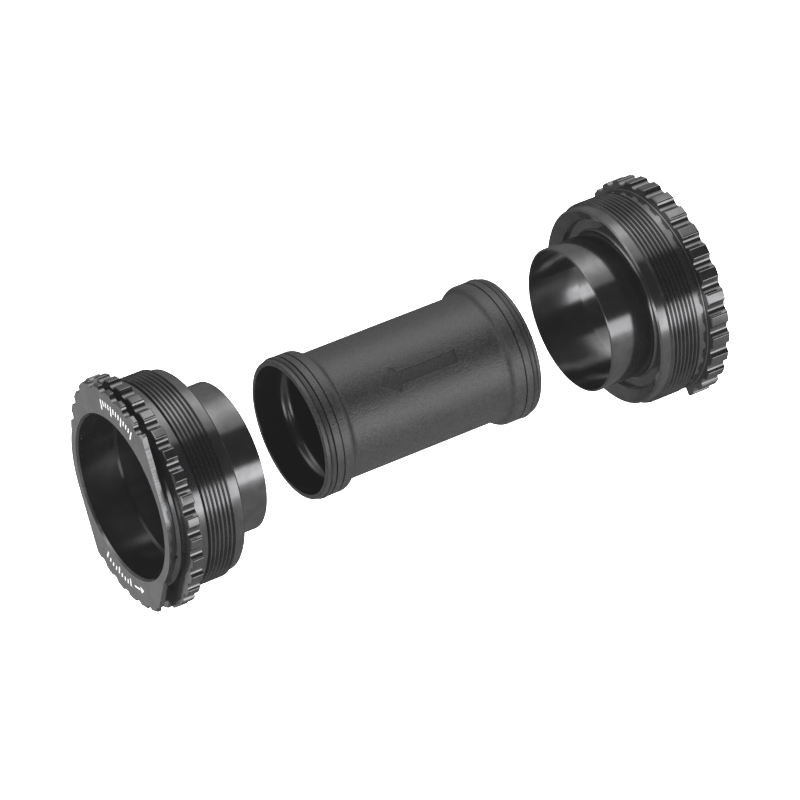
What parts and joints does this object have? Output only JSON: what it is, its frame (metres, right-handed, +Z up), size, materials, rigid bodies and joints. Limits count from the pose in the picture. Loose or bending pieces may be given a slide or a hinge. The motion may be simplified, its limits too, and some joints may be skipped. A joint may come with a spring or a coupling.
{
  "type": "bottom bracket",
  "caption": "Threaded bottom bracket drawn apart: two toothed black cups with thin collars, a flared joining sleeve with a recessed arrow, and sealed bearings with dust covers.",
  "frame": {"origin": "middle of the sleeve, on the spindle's axis, with the parts drawn apart as laid out", "axes": "+X along the spindle's axis from the left (non-drive) cup to the right (drive) cup, +Z up, camera side -Y"},
  "size_m": [0.2814, 0.052, 0.052],
  "materials": {
    "anodised_cup": "glossy black anodised, turned",
    "moulded_sleeve": "fine matt grain",
    "seal_rubber": "smooth black",
    "bearing_steel": "ground",
    "ball_steel": "polished",
    "cage_plastic": "natural nylon",
    "cover_plastic": "satin black"
  },
  "bodies": {
    "sleeve": {"centre_sleeve": "moulded_sleeve", "left_sleeve_o_ring": "seal_rubber", "right_sleeve_o_ring": "seal_rubber"},
    "left_cup": {"left_cup": "anodised_cup"},
    "left_bearing": {"left_bearing_outer_race": "bearing_steel", "left_bearing_inboard_seal": "seal_rubber", "left_bearing_outboard_seal": "seal_rubber"},
    "left_inner_race": {"left_bearing_inner_race": "bearing_steel"},
    "left_ball_set": {"left_bearing_cage": "cage_plastic", "left_bearing_balls": "ball_steel"},
    "left_cover": {"left_dust_cover": "cover_plastic", "left_cover_o_ring": "seal_rubber"},
    "right_cup": {"right_cup": "anodised_cup"},
    "right_bearing": {"right_bearing_outer_race": "bearing_steel", "right_bearing_inboard_seal": "seal_rubber", "right_bearing_outboard_seal": "seal_rubber"},
    "right_inner_race": {"right_bearing_inner_race": "bearing_steel"},
    "right_ball_set": {"right_bearing_cage": "cage_plastic", "right_bearing_balls": "ball_steel"},
    "right_cover": {"right_dust_cover": "cover_plastic", "right_cover_o_ring": "seal_rubber"}
  },
  "joints": [
    {"name": "left_cup_slide", "type": "slide", "parent": "sleeve", "child": "left_cup", "axis": [1, 0, 0], "range_m": [0, 0.02705]},
    {"name": "left_bearing_slide", "type": "slide", "parent": "left_cup", "child": "left_bearing", "axis": [1, 0, 0], "range_m": [0, 0.0623]},
    {"name": "left_bearing_spin", "type": "hinge", "parent": "left_bearing", "child": "left_inner_race", "pos_m": [-0.1255, 0, 0], "axis": [1, 0, 0], "continuous": true},
    {"name": "left_ball_set_roll", "type": "hinge", "parent": "left_bearing", "child": "left_ball_set", "pos_m": [-0.1255, 0, 0], "axis": [1, 0, 0], "continuous": true},
    {"name": "left_cover_slide", "type": "slide", "parent": "left_inner_race", "child": "left_cover", "axis": [1, 0, 0], "range_m": [0, 0.0095]},
    {"name": "right_cup_slide", "type": "slide", "parent": "sleeve", "child": "right_cup", "axis": [-1, 0, 0], "range_m": [0, 0.02915]},
    {"name": "right_bearing_slide", "type": "slide", "parent": "right_cup", "child": "right_bearing", "axis": [-1, 0, 0], "range_m": [0, 0.0602]},
    {"name": "right_bearing_spin", "type": "hinge", "parent": "right_bearing", "child": "right_inner_race", "pos_m": [0.1255, 0, 0], "axis": [1, 0, 0], "continuous": true},
    {"name": "right_ball_set_roll", "type": "hinge", "parent": "right_bearing", "child": "right_ball_set", "pos_m": [0.1255, 0, 0], "axis": [1, 0, 0], "continuous": true},
    {"name": "right_cover_slide", "type": "slide", "parent": "right_inner_race", "child": "right_cover", "axis": [-1, 0, 0], "range_m": [0, 0.0095]}
  ],
  "couplings": [
    {"joint": "left_ball_set_roll", "follows": "left_bearing_spin", "ratio": 0.4435},
    {"joint": "right_ball_set_roll", "follows": "right_bearing_spin", "ratio": 0.4435}
  ]
}
